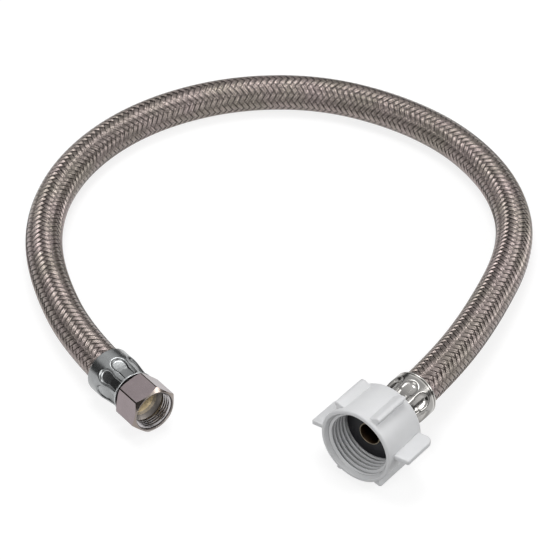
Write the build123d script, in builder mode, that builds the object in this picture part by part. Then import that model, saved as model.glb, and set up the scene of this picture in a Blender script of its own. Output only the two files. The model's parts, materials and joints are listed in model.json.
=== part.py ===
"""Braided supply line, 20 in long: a steel-braided hose in an open loop on a table.

One end has a brass 3/8 in compression nut, the other a plastic 7/8 in ballcock wing nut.
Each end holds a barbed stem pushed into the hose, a crimped ferrule round the hose and a
nut that spins on the stem. Lengths are in millimetres. +Z is up, Z = 0 is the table, and
the origin is the middle of the part's footprint. "Depth" is measured from a nut's mouth
back along its axis, towards the hose.
"""
import os
from math import cos, radians, sin, tan

from build123d import *

# ---------------------------------------------------------------- hose
hose_outer = 13.4            # over the braid
braid_thickness = 0.6
liner_wall = 1.95
hose_layer_gap = 0.05        # between the liner and the braid
crimped_braid_thickness = 0.3

# ---------------------------------------------------------------- how the fittings lie
compression_mouth = (-42.3, -77.5, 10.85)
compression_heading = -53.5  # degrees from +X, the way the mouth points
compression_rise = 4.8       # degrees above the table
ballcock_mouth = (25.1, -99.3, 15.9)
ballcock_heading = -127.2
ballcock_rise = 4.0
bend_depth = 46.0            # first and last corner of the hose's route, behind each mouth

# ---------------------------------------------------------------- fits
free_fit = 0.3               # a nut round its stem
close_fit = 0.05             # a piece pushed or crimped on another
end_play = 0.2               # a nut's web behind its stem's collar

# ---------------------------------------------------------------- stems
neck_radius = 4.3
tail_root_radius = 3.6
barb_count = 4
barb_pitch = 2.7
bead_radius = 5.1            # stops the ferrule's flange
bead_thickness = 0.85

# ---------------------------------------------------------------- crimped ferrules
ferrule_length = 16.2
ferrule_flange = 1.6
lip_radius = 7.7
lip_width = 0.9
waist_radius = 7.6
shoulder_radius = 8.55
shoulder_width = 4.6
rim_width = 1.4
rim_wall = 0.8               # at the hose-end rim
mouth_length = 3.6           # bore that takes the hose at its full size
pocket_count = 8
pocket_turn = 2.0            # degrees, of the first pocket from level
pocket_floor = 7.05
pocket_width = 4.9
pocket_length = 9.6
pocket_flare = 18.0          # degrees that a pocket's sides open outwards

# ---------------------------------------------------------------- compression nut and stem
hex_flats = 15.9             # 5/8 in spanner
compression_nut_length = 11.2
compression_nut_turn = 14.5  # degrees that the top flat is turned about the axis
compression_thread_radius = 6.57   # crests of the 9/16-24 thread
compression_lead_in = 0.8
mouth_ring = 0.75            # from the mouth's rim to the flats
front_chamfer = 1.4
back_chamfer = 0.6
compression_relief_radius = 6.95
compression_seat_depth = 9.0
nose_tip_radius = 3.6
nose_cone_length = 2.4
compression_collar_radius = 6.2
compression_collar_width = 0.4
compression_bore_radius = 2.7
compression_ferrule_gap = 1.3      # between the nut's back and the ferrule

# ---------------------------------------------------------------- ballcock nut, stem and washer
ballcock_nut_length = 19.0
ballcock_mouth_radius = 14.1
ballcock_back_radius = 13.7
ballcock_thread_radius = 10.93     # crests of the 15/16-14 thread
ballcock_lead_in = 1.2
ballcock_thread_end = 7.5
ballcock_relief_radius = 11.4
ballcock_seat_depth = 15.8
ballcock_edge = 0.8          # rounded edges at the mouth and the back
washer_depth = 10.2
washer_thickness = 2.6
washer_radius = 10.7
ballcock_flange_radius = 9.4
spigot_tip_depth = 7.6
spigot_radius = 4.6
spigot_lip = 0.4
ballcock_bore_radius = 3.0
ballcock_ferrule_gap = 0.3
lug_spacing = 60.0
first_wing_angle = 6.0       # about the axis, from level
lug_front = 2.6
wing_radius = 19.8
wing_thickness = 1.9
wing_back = 17.6
wing_draft = 0.2
wing_round = 3.0
rib_radius = 16.6
rib_thickness = 2.8
rib_back = 17.0
rib_draft = 1.8
rib_round = 1.0
lug_root = 1.2               # how far a lug's root reaches into the nut's wall

# ---------------------------------------------------------------- worked out
hose_radius = hose_outer / 2
braid_bore = hose_radius - braid_thickness
liner_outer = braid_bore - hose_layer_gap
liner_bore = liner_outer - liner_wall
crimp_radius = braid_bore + crimped_braid_thickness
barb_radius = liner_bore - close_fit
compression_ferrule_depth = compression_nut_length + compression_ferrule_gap
ballcock_ferrule_depth = ballcock_nut_length + ballcock_ferrule_gap
hose_inset = ferrule_flange + 2 * close_fit + bead_thickness   # hose end behind a ferrule's face
compression_hose_depth = compression_ferrule_depth + hose_inset
ballcock_hose_depth = ballcock_ferrule_depth + hose_inset
compression_collar_back = compression_seat_depth - end_play
nose_cone_back = compression_collar_back - compression_collar_width
nose_tip_depth = nose_cone_back - nose_cone_length
tail_length = barb_count * barb_pitch


def fitting_plane(mouth, heading, rise):
    """Plane of a nut's mouth: its normal points out of the nut, its Y is up."""
    level = cos(radians(rise))
    out = Vector(cos(radians(heading)) * level, sin(radians(heading)) * level, sin(radians(rise)))
    return Plane(origin=mouth, x_dir=(-out.Y, out.X, 0), z_dir=out)


def profile_plane(end, turn=0.0):
    """Plane through a fitting's axis, turned about it: X is the radius, Y the depth."""
    radial = end.x_dir * cos(radians(turn)) + end.y_dir * sin(radians(turn))
    return Plane(origin=end.origin, x_dir=radial, z_dir=end.z_dir.cross(radial))


def tangent_plane(end, turn, radius):
    """Plane square to a radius of a fitting: X goes round the axis, Y is the depth."""
    side = profile_plane(end, turn)
    return Plane(origin=end.origin + side.x_dir * radius, x_dir=-side.z_dir, z_dir=side.x_dir)


def fitting_axis(end):
    """Axis of a fitting, out of its mouth."""
    return Axis(end.origin, end.z_dir)


def axis_point(end, depth):
    """Point on a fitting's axis."""
    return end.origin - end.z_dir * depth


def tail_outline(hose_depth):
    """Stem outline (radius, depth) from the neck over the bead and the barbs to the end."""
    bead_front = hose_depth - close_fit - bead_thickness
    points = [
        (neck_radius, bead_front),
        (bead_radius, bead_front),
        (bead_radius, bead_front + bead_thickness),
        (tail_root_radius, bead_front + bead_thickness),
    ]
    for barb in range(barb_count):
        start = hose_depth + 1.0 + barb * barb_pitch
        points += [(tail_root_radius, start), (barb_radius, start + 0.3)]
        points += [(barb_radius, start + 0.7), (tail_root_radius, start + barb_pitch - 0.1)]
    return points


compression_end = fitting_plane(compression_mouth, compression_heading, compression_rise)
ballcock_end = fitting_plane(ballcock_mouth, ballcock_heading, ballcock_rise)

# ---------------------------------------------------------------- route of the hose
# From the compression end round the loop to the ballcock end. The hose lies on the table
# and climbs over its last quarter to the wing nut, which stands on its ribs.
route = [
    axis_point(compression_end, compression_hose_depth),
    axis_point(compression_end, bend_depth),
    Vector(-83.8, -4.7, hose_radius),
    Vector(-87.3, 24.3, hose_radius),
    Vector(-80.8, 52.3, hose_radius),
    Vector(-65.3, 75.8, hose_radius),
    Vector(-43.3, 92.8, hose_radius),
    Vector(-15.3, 102.8, hose_radius),
    Vector(16.2, 102.8, hose_radius),
    Vector(45.7, 90.8, hose_radius),
    Vector(69.2, 71.3, hose_radius),
    Vector(84.7, 43.3, hose_radius),
    Vector(87.2, 10.8, hose_radius + 0.6),
    Vector(70.2, -31.7, hose_radius + 2.6),
    axis_point(ballcock_end, bend_depth),
    axis_point(ballcock_end, ballcock_hose_depth),
]
runs = [end - start for start, end in zip(route, route[1:])]
bend_radii = []
for before, after in zip(runs, runs[1:]):
    half_turn = radians(before.get_angle(after)) / 2
    bend_radii.append(0.45 * min(before.length, after.length) / tan(half_turn))
print("bend radii:", [round(radius, 1) for radius in bend_radii])

with BuildLine() as hose_path:
    FilletPolyline(*route, radius=bend_radii)
hose_length = sum(edge.length for edge in hose_path.edges())
print(f"hose length {hose_length:.1f}, tightest bend {min(bend_radii) / hose_outer:.1f} diameters")

# ---------------------------------------------------------------- hose: braid over liner
hose_start = Plane(origin=route[0], z_dir=runs[0])
hose_finish = Plane(origin=route[-1], z_dir=-runs[-1])

with BuildPart() as hose_braid:
    with BuildSketch(hose_start):
        Circle(hose_radius)
        Circle(braid_bore, mode=Mode.SUBTRACT)
    sweep(path=hose_path.wires()[0])
    # The ends are squeezed thin under the ferrules.
    for hose_end in (hose_start, hose_finish):
        with BuildSketch(hose_end):
            Circle(hose_outer)
            Circle(crimp_radius, mode=Mode.SUBTRACT)
        extrude(amount=ferrule_length - mouth_length - hose_inset, mode=Mode.SUBTRACT)

with BuildPart() as hose_liner:
    with BuildSketch(hose_start):
        Circle(liner_outer)
        Circle(liner_bore, mode=Mode.SUBTRACT)
    sweep(path=hose_path.wires()[0])

# ---------------------------------------------------------------- ferrules


def ferrule_outline(front):
    """Ring outline (radius, depth) of a ferrule before its pockets are pressed."""
    back = front + ferrule_length
    shoulder_back = back - rim_width
    shoulder_front = shoulder_back - shoulder_width
    step = back - mouth_length
    return [
        (neck_radius + close_fit, front),
        (lip_radius, front),
        (lip_radius, front + lip_width),
        (waist_radius, front + lip_width + 0.3),
        (shoulder_radius, shoulder_front),
        (shoulder_radius, shoulder_back),
        (hose_radius + close_fit + rim_wall, back),
        (hose_radius + close_fit, back),
        (hose_radius + close_fit, step),
        (crimp_radius + close_fit, step),
        (crimp_radius + close_fit, front + ferrule_flange),
        (neck_radius + close_fit, front + ferrule_flange),
    ]


with BuildPart() as compression_ferrule:
    with BuildSketch(profile_plane(compression_end)):
        with BuildLine():
            Polyline(*ferrule_outline(compression_ferrule_depth), close=True)
        make_face()
    revolve(axis=fitting_axis(compression_end))
    for pocket in range(pocket_count):
        turn = pocket * 360 / pocket_count + pocket_turn
        with BuildSketch(tangent_plane(compression_end, turn, pocket_floor)):
            pocket_start = compression_ferrule_depth + lip_width + 0.3
            arch = pocket_start + pocket_length - pocket_width / 2
            with Locations((0, (pocket_start + arch) / 2)):
                Rectangle(pocket_width, arch - pocket_start)
            with Locations((0, arch)):
                Circle(pocket_width / 2)
        extrude(amount=shoulder_radius - pocket_floor + 1, taper=-pocket_flare, mode=Mode.SUBTRACT)

with BuildPart() as ballcock_ferrule:
    with BuildSketch(profile_plane(ballcock_end)):
        with BuildLine():
            Polyline(*ferrule_outline(ballcock_ferrule_depth), close=True)
        make_face()
    revolve(axis=fitting_axis(ballcock_end))
    for pocket in range(pocket_count):
        turn = pocket * 360 / pocket_count + pocket_turn
        with BuildSketch(tangent_plane(ballcock_end, turn, pocket_floor)):
            pocket_start = ballcock_ferrule_depth + lip_width + 0.3
            arch = pocket_start + pocket_length - pocket_width / 2
            with Locations((0, (pocket_start + arch) / 2)):
                Rectangle(pocket_width, arch - pocket_start)
            with Locations((0, arch)):
                Circle(pocket_width / 2)
        extrude(amount=shoulder_radius - pocket_floor + 1, taper=-pocket_flare, mode=Mode.SUBTRACT)

# ---------------------------------------------------------------- compression end
with BuildPart() as compression_nut:
    with BuildSketch(compression_end):
        RegularPolygon(
            radius=hex_flats / 2, side_count=6, major_radius=False, rotation=compression_nut_turn
        )
    extrude(amount=-compression_nut_length)
    # Both ends are turned to a cone, and the bore steps down to a web behind the stem.
    corner_radius = hex_flats / 2 / cos(radians(30)) + 0.2
    rim_radius = hex_flats / 2 - 0.1
    thread_end = nose_tip_depth - 0.1
    with BuildSketch(profile_plane(compression_end)):
        with BuildLine():
            Polyline(
                (rim_radius - mouth_ring, 0),
                (rim_radius, 0),
                (corner_radius, front_chamfer),
                (corner_radius, compression_nut_length - back_chamfer),
                (corner_radius - 2 * back_chamfer, compression_nut_length),
                (neck_radius + free_fit, compression_nut_length),
                (neck_radius + free_fit, compression_seat_depth),
                (compression_relief_radius, compression_seat_depth),
                (compression_relief_radius, thread_end),
                (compression_thread_radius, thread_end),
                (compression_thread_radius, compression_lead_in),
                close=True,
            )
        make_face()
    revolve(axis=fitting_axis(compression_end), mode=Mode.INTERSECT)

with BuildPart() as compression_stem:
    stem_end = compression_hose_depth + 1.0 + tail_length
    with BuildSketch(profile_plane(compression_end)):
        with BuildLine():
            Polyline(
                (compression_bore_radius + 0.3, nose_tip_depth),
                (nose_tip_radius, nose_tip_depth),
                (compression_collar_radius, nose_cone_back),
                (compression_collar_radius, compression_collar_back),
                (neck_radius, compression_collar_back),
                *tail_outline(compression_hose_depth),
                (tail_root_radius, stem_end),
                (compression_bore_radius, stem_end),
                (compression_bore_radius, nose_tip_depth + 0.3),
                close=True,
            )
        make_face()
    revolve(axis=fitting_axis(compression_end))

# ---------------------------------------------------------------- ballcock end
with BuildPart() as ballcock_nut:
    with BuildSketch(profile_plane(ballcock_end)):
        with BuildLine():
            Polyline(
                (ballcock_thread_radius + ballcock_lead_in, 0),
                (ballcock_mouth_radius - ballcock_edge, 0),
                (ballcock_mouth_radius, ballcock_edge),
                (ballcock_back_radius, ballcock_nut_length - ballcock_edge),
                (ballcock_back_radius - ballcock_edge, ballcock_nut_length),
                (neck_radius + free_fit, ballcock_nut_length),
                (neck_radius + free_fit, ballcock_seat_depth),
                (ballcock_relief_radius, ballcock_seat_depth),
                (ballcock_relief_radius, ballcock_thread_end),
                (ballcock_thread_radius, ballcock_thread_end),
                (ballcock_thread_radius, ballcock_lead_in),
                close=True,
            )
        make_face()
    revolve(axis=fitting_axis(ballcock_end))
    # Two wings opposite each other, and two low ribs between them on each side.
    for lug in range(6):
        is_wing = lug % 3 == 0
        tip = wing_radius if is_wing else rib_radius
        back = wing_back if is_wing else rib_back
        draft = wing_draft if is_wing else rib_draft
        corner = wing_round if is_wing else rib_round
        root = ballcock_back_radius - lug_root
        with BuildSketch(profile_plane(ballcock_end, first_wing_angle + lug * lug_spacing)):
            with BuildLine():
                Polyline(
                    (root, lug_front), (tip, lug_front), (tip - draft, back), (root, back), close=True
                )
            make_face()
            fillet(vertices().group_by(Axis.X)[-2], corner)
        extrude(amount=(wing_thickness if is_wing else rib_thickness) / 2, both=True)

with BuildPart() as ballcock_stem:
    flange_front = washer_depth + washer_thickness
    flange_back = ballcock_seat_depth - end_play
    stem_end = ballcock_hose_depth + 1.0 + tail_length
    with BuildSketch(profile_plane(ballcock_end)):
        with BuildLine():
            Polyline(
                (spigot_radius - spigot_lip, spigot_tip_depth),
                (spigot_radius, spigot_tip_depth),
                (spigot_radius, flange_front),
                (ballcock_flange_radius, flange_front),
                (ballcock_flange_radius, flange_back),
                (neck_radius, flange_back),
                *tail_outline(ballcock_hose_depth),
                (tail_root_radius, stem_end),
                (ballcock_bore_radius, stem_end),
                (ballcock_bore_radius, washer_depth),
                close=True,
            )
        make_face()
    revolve(axis=fitting_axis(ballcock_end))

with BuildPart() as ballcock_washer:
    with BuildSketch(profile_plane(ballcock_end)):
        with BuildLine():
            Polyline(
                (spigot_radius + close_fit, washer_depth),
                (washer_radius, washer_depth),
                (washer_radius, washer_depth + washer_thickness),
                (spigot_radius + close_fit, washer_depth + washer_thickness),
                close=True,
            )
        make_face()
    revolve(axis=fitting_axis(ballcock_end))

# ---------------------------------------------------------------- export
hose_braid.part.label = "hose_braid"
hose_liner.part.label = "hose_liner"
compression_ferrule.part.label = "compression_ferrule"
ballcock_ferrule.part.label = "ballcock_ferrule"
compression_nut.part.label = "compression_nut"
compression_stem.part.label = "compression_stem"
ballcock_nut.part.label = "ballcock_nut"
ballcock_stem.part.label = "ballcock_stem"
ballcock_washer.part.label = "ballcock_washer"

os.makedirs("parts", exist_ok=True)
export_step(hose_braid.part, "parts/hose_braid.step")
export_step(hose_liner.part, "parts/hose_liner.step")
export_step(compression_ferrule.part, "parts/compression_ferrule.step")
export_step(ballcock_ferrule.part, "parts/ballcock_ferrule.step")
export_step(compression_nut.part, "parts/compression_nut.step")
export_step(compression_stem.part, "parts/compression_stem.step")
export_step(ballcock_nut.part, "parts/ballcock_nut.step")
export_step(ballcock_stem.part, "parts/ballcock_stem.step")
export_step(ballcock_washer.part, "parts/ballcock_washer.step")
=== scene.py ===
"""A braided supply line lying in an open loop on a pale table.

The hose has a hexagon compression nut on one end and a plastic wing nut on the other. Each
class below is one sub-assembly, holds its own sizes in millimetres and builds its meshes in
a straight frame of its own. A fitting's frame has its origin at the mouth of the nut, Z out
of the mouth and Y up, and "depth" is measured back from the mouth. The hose's frame has Z
along the hose. The finished meshes are in metres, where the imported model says.
"""

import json
import logging
from abc import ABC, abstractmethod
from collections.abc import Callable, Iterable, Mapping, Sequence
from dataclasses import dataclass
from enum import Enum, IntEnum
from functools import cache
from math import atan2, cos, degrees, hypot, pi, radians, sin, sqrt, tau

import bmesh
import bpy
import numpy as np
from mathutils import Euler, Matrix, Vector


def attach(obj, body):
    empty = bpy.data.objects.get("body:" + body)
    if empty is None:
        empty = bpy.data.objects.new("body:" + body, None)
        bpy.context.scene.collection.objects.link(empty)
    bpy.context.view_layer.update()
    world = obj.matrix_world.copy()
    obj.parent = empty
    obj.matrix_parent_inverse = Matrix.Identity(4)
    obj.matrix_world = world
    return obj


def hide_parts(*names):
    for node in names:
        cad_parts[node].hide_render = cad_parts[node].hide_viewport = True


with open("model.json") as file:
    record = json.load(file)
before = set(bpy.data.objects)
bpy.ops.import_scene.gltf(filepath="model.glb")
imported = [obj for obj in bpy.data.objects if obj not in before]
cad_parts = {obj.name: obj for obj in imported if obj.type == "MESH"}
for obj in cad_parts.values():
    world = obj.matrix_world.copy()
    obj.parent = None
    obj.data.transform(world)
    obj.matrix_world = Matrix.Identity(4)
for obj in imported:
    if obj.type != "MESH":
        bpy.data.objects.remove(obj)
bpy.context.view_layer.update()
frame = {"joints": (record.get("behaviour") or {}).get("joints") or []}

log = logging.getLogger("supply_line")

MM = 0.001
"""Metres in a millimetre."""
HOSE_BODY = "hose"

BMesh = bmesh.types.BMesh
BMVert = bmesh.types.BMVert
Item = BMVert | bmesh.types.BMEdge | bmesh.types.BMFace
Layer = bmesh.types.BMLayerItem
Node = bpy.types.Node
Object = bpy.types.Object
Socket = bpy.types.NodeSocket
Tree = bpy.types.NodeTree
Color = Place = tuple[float, float, float]
Pair = tuple[float, float]
Profile = Sequence[Pair]
"""Points (radius, depth) of a turned outline, in millimetres."""
Pick = Callable[[float, float], int]
"""Gives the number of the finish at a radius and a depth, in millimetres."""


# ------------------------------------------------------------------ places
class Seat:
    """Where a fitting lies: the middle of its nut's mouth and the way it points."""

    def __init__(self, joint_name: str) -> None:
        """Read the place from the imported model.

        Args:
            joint_name: the joint that the fitting's nut turns on.
        """
        joint = next(joint for joint in frame["joints"] if joint["name"] == joint_name)
        self.mouth = Vector(joint["pos_m"])
        self.out = Vector(joint["axis"]).normalized()
        self.level = Vector((-self.out.y, self.out.x, 0)).normalized()
        self.up = self.out.cross(self.level)

    def point(self, depth: float) -> Vector:
        """Return the point on the axis at a depth in millimetres, in metres."""
        return self.mouth - self.out * (depth * MM)

    def turn(self) -> Matrix:
        """Return the rotation from the fitting's frame to the model's."""
        return Matrix((self.level, self.up, self.out)).transposed()

    def matrix(self) -> Matrix:
        """Return the transform from the fitting's millimetres to the model's metres."""
        return Matrix.Translation(self.mouth) @ self.turn().to_4x4() @ Matrix.Scale(MM, 4)


class HoseRoute:
    """The hose's centre line, as one smooth spline from the first fitting to the second."""

    CURVE_STEPS = 64

    def __init__(self, control_points: Sequence[Vector]) -> None:
        """Lay the spline and read its points.

        Args:
            control_points: the route's corners, in metres.
        """
        curve = bpy.data.curves.new("hose_route", "CURVE")
        curve.dimensions = "3D"
        curve.resolution_u = self.CURVE_STEPS
        spline = curve.splines.new("NURBS")
        spline.points.add(len(control_points) - 1)
        for point, place in zip(spline.points, control_points):
            point.co = (*place, 1)
        spline.order_u = 3
        spline.use_endpoint_u = True
        holder = bpy.data.objects.new("hose_route", curve)
        mesh = bpy.data.meshes.new_from_object(holder)
        self.line = np.array([vertex.co for vertex in mesh.vertices])
        bpy.data.meshes.remove(mesh)
        bpy.data.objects.remove(holder)
        bpy.data.curves.remove(curve)

        steps = np.linalg.norm(np.diff(self.line, axis=0), axis=1)
        self.along = np.concatenate([[0.0], np.cumsum(steps)])
        self.length = float(self.along[-1])
        self.tangents = np.gradient(self.line, self.along, axis=0)
        self.tangents /= np.linalg.norm(self.tangents, axis=1)[:, None]
        self.sides = self._carried_side()

    def _carried_side(self) -> np.ndarray:
        """Return a side direction at each point, carried along the line without twist."""
        side = np.cross(self.tangents[0], (0, 0, 1))
        sides = []
        for tangent in self.tangents:
            side = side - tangent * float(side @ tangent)
            side = side / np.linalg.norm(side)
            sides.append(side)
        return np.array(sides)

    def _at(self, values: np.ndarray, distance: np.ndarray) -> np.ndarray:
        """Return the values of the line at some distances along it, in metres."""
        return np.stack([np.interp(distance, self.along, row) for row in values.T], axis=1)

    def wrap(self, mesh: bpy.types.Mesh, straight_length: float) -> None:
        """Bend a mesh that was built straight along Z onto the route.

        Args:
            mesh: the mesh, in millimetres, with Z from 0 to straight_length.
            straight_length: the length that the whole route takes, in millimetres.
        """
        points = read_points(mesh)
        distance = points[:, 2] / straight_length * self.length
        centre = self._at(self.line, distance)
        tangent = self._at(self.tangents, distance)
        side = self._at(self.sides, distance)
        side /= np.linalg.norm(side, axis=1)[:, None]
        other = np.cross(tangent, side)
        other /= np.linalg.norm(other, axis=1)[:, None]
        bent = centre + side * points[:, [0]] * MM + other * points[:, [1]] * MM
        mesh.vertices.foreach_set("co", bent.ravel())
        mesh.update()


def read_points(mesh: bpy.types.Mesh) -> np.ndarray:
    """Return a mesh's points, one to a row."""
    flat = np.zeros(len(mesh.vertices) * 3)
    mesh.vertices.foreach_get("co", flat)
    return flat.reshape(-1, 3)


# ------------------------------------------------------------------ shaping
def clamped(value: float) -> float:
    """Return a value kept between 0 and 1."""
    return min(max(value, 0.0), 1.0)


def loop(mesh: BMesh, points: Iterable[Sequence[float]]) -> list[Item]:
    """Add a closed loop through some points, and return its points and edges."""
    corners = [mesh.verts.new(point) for point in points]
    return corners + [mesh.edges.new(pair) for pair in zip(corners, corners[1:] + corners[:1])]


def wind(
    mesh: BMesh,
    items: Sequence[Item],
    steps: int,
    angle: float = tau,
    rise: float = 0.0,
    merge: bool = False,
) -> None:
    """Sweep a loop about Z.

    Args:
        mesh: the mesh that holds the loop.
        items: the loop's points and edges.
        steps: the flats in the whole sweep.
        angle: the sweep's angle, in radians.
        rise: how far each step climbs along Z.
        merge: whether the end meets the start.
    """
    bmesh.ops.spin(
        mesh,
        geom=items,
        cent=(0, 0, 0),
        axis=(0, 0, 1),
        dvec=(0, 0, rise),
        angle=angle,
        steps=steps,
        use_merge=merge,
    )


def turned(outline: Profile, steps: int) -> BMesh:
    """Turn a closed outline about Z into a ring.

    Args:
        outline: the outline's corners, as (radius, depth).
        steps: the flats in a whole turn.

    Returns:
        The ring's mesh.
    """
    mesh = bmesh.new()
    wind(mesh, loop(mesh, [(radius, 0, -depth) for radius, depth in outline]), steps, merge=True)
    bmesh.ops.recalc_face_normals(mesh, faces=mesh.faces)
    return mesh


def pull(mesh: BMesh, along: Place) -> None:
    """Pull a flat face out into a solid."""
    grown = bmesh.ops.extrude_face_region(mesh, geom=list(mesh.faces))["geom"]
    bmesh.ops.translate(mesh, verts=vertices(grown), vec=along)
    bmesh.ops.recalc_face_normals(mesh, faces=mesh.faces)


def vertices(items: Iterable[Item]) -> list[BMVert]:
    """Return the vertices among some parts of a mesh."""
    return [item for item in items if isinstance(item, BMVert)]


def close_holes(mesh: BMesh) -> None:
    """Fill every open loop of a mesh."""
    open_edges = [edge for edge in mesh.edges if edge.is_boundary]
    bmesh.ops.holes_fill(mesh, edges=open_edges, sides=0)


def scale_radius(vertex: BMVert, radius: float, target: float) -> None:
    """Move a point from one radius about Z to another."""
    vertex.co.x *= target / radius
    vertex.co.y *= target / radius


def soften(
    mesh: BMesh,
    width: float,
    segments: int = 2,
    where: Callable[[float], bool] = lambda radius: True,
) -> None:
    """Round a mesh's sharp edges, and dissolve the slivers that this leaves.

    Args:
        mesh: the mesh to change.
        width: how far the round reaches from the edge.
        segments: the flats in each round.
        where: says whether the edge whose middle has that radius is rounded.
    """
    least_angle, sliver = radians(30.0), 0.001
    sharp = []
    for edge in mesh.edges:
        middle = (edge.verts[0].co + edge.verts[1].co) / 2
        bends = edge.is_manifold and edge.calc_face_angle(0.0) > least_angle
        if bends and where(hypot(middle.x, middle.y)):
            sharp.append(edge)
    bmesh.ops.bevel(
        mesh,
        geom=sharp,
        offset=width,
        offset_type="OFFSET",
        affect="EDGES",
        segments=segments,
        profile=0.5,
        material=-1,
        clamp_overlap=True,
    )
    bmesh.ops.dissolve_degenerate(mesh, dist=sliver, edges=mesh.edges)


def paint(mesh: BMesh, pick: Pick) -> None:
    """Give each face the finish that is picked for its middle's radius and depth."""
    for face in mesh.faces:
        middle = face.calc_center_median()
        face.material_index = pick(hypot(middle.x, middle.y), -middle.z)


def add_piece(target: BMesh, extra: BMesh) -> None:
    """Copy one mesh into another and free it."""
    holder = bpy.data.meshes.new("extra")
    extra.to_mesh(holder)
    extra.free()
    target.from_mesh(holder)
    bpy.data.meshes.remove(holder)


def finished_object(
    name: str, mesh: BMesh, place: Matrix | None = None, smooth_below: float = 40.0
) -> Object:
    """Make an object from a mesh, with its place in the mesh.

    Args:
        name: the object's name.
        mesh: the finished mesh, which is freed.
        place: the transform to the model's frame, or None where it is applied later.
        smooth_below: edges flatter than this many degrees are shaded smooth.

    Returns:
        The object, linked to the scene.
    """
    if place is not None:
        bmesh.ops.transform(mesh, matrix=place, verts=mesh.verts)
    data = bpy.data.meshes.new(name)
    mesh.to_mesh(data)
    mesh.free()
    data.shade_smooth()
    data.set_sharp_from_angle(angle=radians(smooth_below))
    made = bpy.data.objects.new(name, data)
    bpy.context.scene.collection.objects.link(made)
    return made


@dataclass(frozen=True)
class Thread:
    """A right-hand internal thread, as one helical ridge on the wall of a bore."""

    crest_radius: float
    root_radius: float
    pitch: float
    first_depth: float
    turns: float
    root_share: float = 0.42
    crest_share: float = 0.09
    sunk: float = 0.12
    steps_per_turn: int = 72
    fade_turns: float = 0.35

    def build(self) -> BMesh:
        """Return the ridge, sunk a little into the wall of its bore."""
        mesh = bmesh.new()
        half_root = self.pitch * self.root_share
        half_crest = self.pitch * self.crest_share
        foot = self.root_radius + self.sunk
        outline = [
            (foot, -half_root),
            (self.root_radius, -half_root),
            (self.crest_radius, -half_crest),
            (self.crest_radius, half_crest),
            (self.root_radius, half_root),
            (foot, half_root),
        ]
        ridge = loop(mesh, [(radius, 0, -self.first_depth - shift) for radius, shift in outline])
        steps = round(self.turns * self.steps_per_turn)
        wind(mesh, ridge, steps, tau * self.turns, self.pitch / self.steps_per_turn)
        bmesh.ops.translate(mesh, verts=mesh.verts, vec=(0, 0, -self.pitch * self.turns))
        close_holes(mesh)
        self._fade_ends(mesh)
        bmesh.ops.recalc_face_normals(mesh, faces=mesh.faces)
        return mesh

    def _fade_ends(self, mesh: BMesh) -> None:
        """Let the ridge rise out of the wall over the first and last part of a turn."""
        length = self.pitch * self.turns
        for vertex in mesh.verts:
            radius = hypot(vertex.co.x, vertex.co.y)
            if radius > self.root_radius - 0.01:
                continue
            run = (-vertex.co.z - self.first_depth) / self.pitch
            share = clamped(min(run, length / self.pitch - run) / self.fade_turns)
            target = self.root_radius + (radius - self.root_radius) * share
            scale_radius(vertex, radius, target)


# ------------------------------------------------------------------ shader nodes
class Graph:
    """A node tree, with short ways to add, feed and join its nodes."""

    def __init__(self, tree: Tree) -> None:
        """Start from an empty tree."""
        self.tree = tree
        tree.nodes.clear()

    def node(
        self, kind: str, feeds: Mapping[str | int, object] | None = None, **settings: object
    ) -> Node:
        """Add a node.

        Args:
            kind: the node's type, without "ShaderNode" in front.
            feeds: a socket or a plain value for its inputs, by their names or numbers.
            settings: its properties.

        Returns:
            The node.
        """
        node = self.tree.nodes.new(f"ShaderNode{kind}")
        for name, value in settings.items():
            setattr(node, name, value)
        for name, value in (feeds or {}).items():
            if isinstance(value, Socket):
                self.tree.links.new(value, node.inputs[name])
            else:
                node.inputs[name].default_value = value
        return node

    def math(self, operation: str, *values: object, **settings: object) -> Socket:
        """Return the result of one sum on sockets or numbers."""
        feeds = dict(enumerate(values))
        return self.node("Math", feeds, operation=operation, **settings).outputs[0]

    def vector(self, operation: str, feeds: Mapping[str | int, object]) -> Socket:
        """Return the result of one sum on vectors."""
        return self.node("VectorMath", feeds, operation=operation).outputs[0]

    def noise(self, place: Socket, scale: object, **feeds: float) -> Socket:
        """Return noise at a place."""
        return self.node("TexNoise", {"Vector": place, "Scale": scale, **feeds}).outputs["Fac"]

    def attribute(self, name: str, output: str) -> Socket:
        """Return a piece's own attribute, as a vector or a number."""
        return self.node("Attribute", attribute_name=name).outputs[output]

    def mix(self, share: Socket, first: object, second: object) -> Socket:
        """Return a mix of two colours."""
        return self.node("Mix", {0: share, 6: first, 7: second}, data_type="RGBA").outputs[2]

    def spread(self, value: Socket, given: Pair, wanted: Pair = (0.0, 1.0)) -> Socket:
        """Return a value spread from one range to another and kept inside it."""
        names = ("From Min", "From Max", "To Min", "To Max")
        feeds = {"Value": value, **dict(zip(names, (*given, *wanted)))}
        return self.node("MapRange", feeds, clamp=True).outputs["Result"]

    def bump(self, height: Socket, distance: float) -> Socket:
        """Return the normals of a height, with its full height in metres."""
        feeds = {"Height": height, "Distance": distance, "Strength": 1.0}
        return self.node("Bump", feeds).outputs["Normal"]


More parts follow.
